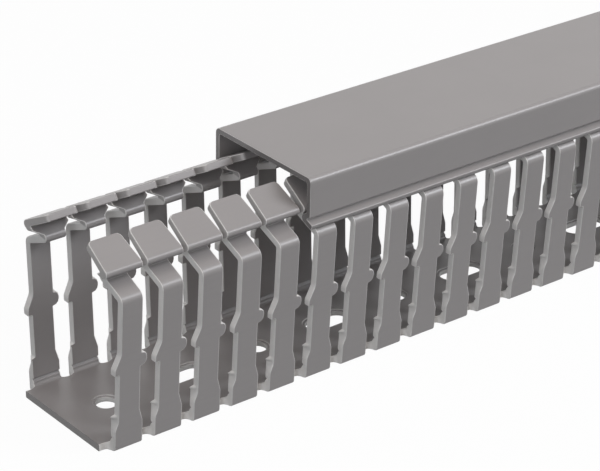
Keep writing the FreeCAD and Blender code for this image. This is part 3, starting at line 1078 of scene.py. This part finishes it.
def matt_white_floor():
    """Matt paint that the camera sees almost pure white, with a faint shadow left.

    Light that bounces sees it dark grey, so that it lights the duct little from below.
    """
    material = empty_material("matt_white_floor")
    tree = material.node_tree
    seen = seen_directly(tree)
    tone = add_node(
        tree,
        "ShaderNodeMix",
        {MIX_A: hex_to_linear(FLOOR_BOUNCE), MIX_B: hex_to_linear(WHITE)},
        {0: seen},
        data_type="RGBA",
    ).outputs[MIX_COLOUR]
    paint = add_node(tree, "ShaderNodeBsdfDiffuse", links={"Color": tone})
    glow = add_node(tree, "ShaderNodeEmission", {"Color": hex_to_linear(WHITE), "Strength": 1.0})
    share = add_node(
        tree, "ShaderNodeMath", {1: 1 - FLOOR_SHADOW}, {0: seen}, operation="MULTIPLY"
    ).outputs["Value"]
    mixed = add_node(
        tree,
        "ShaderNodeMixShader",
        links={0: share, 1: paint.outputs["BSDF"], 2: glow.outputs["Emission"]},
    )
    add_node(tree, "ShaderNodeOutputMaterial", links={"Surface": mixed.outputs["Shader"]})
    return material


def even_light(ambient):
    """World that lights the duct evenly from all round, and is white where it is seen."""
    world = bpy.data.worlds.new("studio")
    world.use_nodes = True
    tree = world.node_tree
    tree.nodes.clear()
    level = add_node(
        tree,
        "ShaderNodeMapRange",
        {"To Min": ambient, "To Max": 1.0},
        {"Value": seen_directly(tree)},
    ).outputs["Result"]
    background = add_node(
        tree, "ShaderNodeBackground", {"Color": hex_to_linear(WHITE)}, {"Strength": level}
    )
    add_node(tree, "ShaderNodeOutputWorld", links={"Surface": background.outputs["Background"]})
    return world


def add_camera(studio):
    """Camera that looks at the duct from where the photograph was taken."""
    lens = bpy.data.cameras.new("duct_camera")
    lens.sensor_width = SENSOR_WIDTH
    lens.lens = studio.focal_length
    lens.clip_start, lens.clip_end = CLIP_DISTANCES
    camera = bpy.data.objects.new("duct_camera", lens)
    camera.location = studio.camera_place
    camera.rotation_euler = studio.camera_turn
    bpy.context.scene.collection.objects.link(camera)
    bpy.context.scene.camera = camera


def add_soft_light(name, power, location, aim, size, colour):
    """Square area light that faces the aim point."""
    light = bpy.data.lights.new(name, "AREA")
    light.shape = "SQUARE"
    light.color = hex_to_linear(colour)[:3]
    light.size = size
    light.energy = power
    lamp = bpy.data.objects.new(name, light)
    lamp.location = location
    direction = Vector(aim) - Vector(location)
    lamp.rotation_euler = direction.to_track_quat("-Z", "Y").to_euler()
    bpy.context.scene.collection.objects.link(lamp)


def add_floor():
    """Square floor just under the duct, part of the stage."""
    corners = np.array([(-1, -1), (1, -1), (1, 1), (-1, 1)]) * FLOOR_REACH
    points = [(x + DUCT_LENGTH / 2, y, -FLOOR_GAP) for x, y in corners.tolist()]
    mesh = bpy.data.meshes.new("floor")
    mesh.from_pydata(points, [], [(0, 1, 2, 3)])
    mesh.materials.append(matt_white_floor())
    floor = bpy.data.objects.new("floor", mesh)
    bpy.context.scene.collection.objects.link(floor)


class WIREDUCT_OT_channel(Operator):
    """Builds the slotted channel: base with its holes, walls of fingers and folded heads"""

    bl_idname = "wireduct.channel"
    bl_label = "Slotted channel"

    def execute(self, context):
        sizes, finish = context.scene.wire_duct_sizes, context.scene.wire_duct_finish
        faces, end_ring, root_y = finger_faces(sizes.edge_radius)
        shell = Shell()
        add_fingers(shell, faces)
        add_base(shell, root_y, end_ring, sizes.edge_radius)
        mesh = shell.mesh("slotted_channel_shell")
        place(mesh, "slotted_channel_shell", pvc(finish), "channel", "slotted_channel")
        return {"FINISHED"}


class WIREDUCT_OT_cover(Operator):
    """Builds the clip-on cover: flat top, skirts, and the hook and lip at each foot"""

    bl_idname = "wireduct.cover"
    bl_label = "Clip-on cover"

    def execute(self, context):
        sizes, finish = context.scene.wire_duct_sizes, context.scene.wire_duct_finish
        shell = Shell()
        for points, normals, cut in cover_faces(sizes.sawn_edge):
            shell.add(points, normals, cut)
        place(shell.mesh("cover_shell"), "cover_shell", pvc(finish), "cover", "snap_cover")
        return {"FINISHED"}


class WIREDUCT_OT_studio(Operator):
    """Sets up the camera, the soft lights and the white floor"""

    bl_idname = "wireduct.studio"
    bl_label = "Studio"

    def execute(self, context):
        scene, studio = context.scene, context.scene.wire_duct_studio
        powers = {
            "overhead": studio.overhead_power,
            "left_side": studio.left_power,
            "right_side": studio.right_power,
            "behind": studio.back_power,
        }
        add_camera(studio)
        for name, power in powers.items():
            add_soft_light(name, power, *SOFT_LIGHTS[name])
        add_floor()
        scene.world = even_light(studio.ambient)
        scene.view_settings.view_transform = "Standard"
        return {"FINISHED"}


class WIREDUCT_PT_panel(Panel):
    """Lists the pieces, their sizes and finishes, and the studio"""

    bl_label = "Wire duct"
    bl_idname = "WIREDUCT_PT_panel"
    bl_space_type = "VIEW_3D"
    bl_region_type = "UI"
    bl_category = "Wire duct"

    def draw(self, context):
        scene = context.scene
        groups = (scene.wire_duct_sizes, scene.wire_duct_finish, scene.wire_duct_studio)
        for group in groups:
            box = self.layout.box()
            for name in group.__annotations__:
                box.prop(group, name)
        for operator in OPERATORS:
            self.layout.operator(operator.bl_idname)


OPERATORS = (WIREDUCT_OT_channel, WIREDUCT_OT_cover, WIREDUCT_OT_studio)
GROUPS = {
    "wire_duct_sizes": DuctSizes,
    "wire_duct_finish": DuctFinish,
    "wire_duct_studio": DuctStudio,
}


def register():
    for group in (*GROUPS.values(), *OPERATORS, WIREDUCT_PT_panel):
        bpy.utils.register_class(group)
    for name, group in GROUPS.items():
        setattr(bpy.types.Scene, name, PointerProperty(type=group))


def unregister():
    for name in GROUPS:
        delattr(bpy.types.Scene, name)
    for group in (WIREDUCT_PT_panel, *reversed(OPERATORS), *GROUPS.values()):
        bpy.utils.unregister_class(group)


def main():
    register()
    bpy.ops.wireduct.channel()
    bpy.ops.wireduct.cover()
    bpy.ops.wireduct.studio()


if __name__ == "__main__":
    main()
